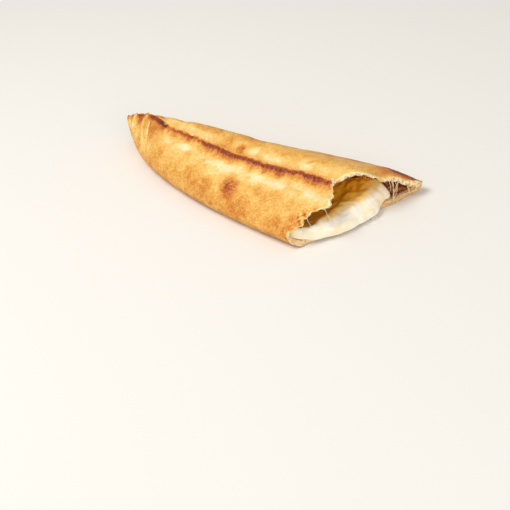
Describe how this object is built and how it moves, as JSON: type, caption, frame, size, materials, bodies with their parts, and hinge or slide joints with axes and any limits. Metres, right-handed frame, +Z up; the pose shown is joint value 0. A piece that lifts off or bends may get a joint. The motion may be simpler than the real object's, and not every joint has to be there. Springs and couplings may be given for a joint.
{
  "type": "torn half of a closed cheese and meat pide",
  "caption": "Torn half of a closed boat-shaped bread, baked over melted cheese and minced meat, open at the torn end.",
  "frame": {"origin": "middle of the bounding box at its base, on the flat underside", "axes": "+X from the pinched tip to the torn end, +Y to the far side of the seam (away from the upper flap), +Z up"},
  "size_m": [0.2506, 0.0996, 0.0343],
  "materials": {
    "crust": "dry baked dough, pale golden with brown patches",
    "cheese": "glossy melted white cheese",
    "meat": "moist browned minced meat"
  },
  "bodies": {
    "root": {"crust": "crust", "cheese": "cheese", "meat": "meat"}
  },
  "joints": []
}
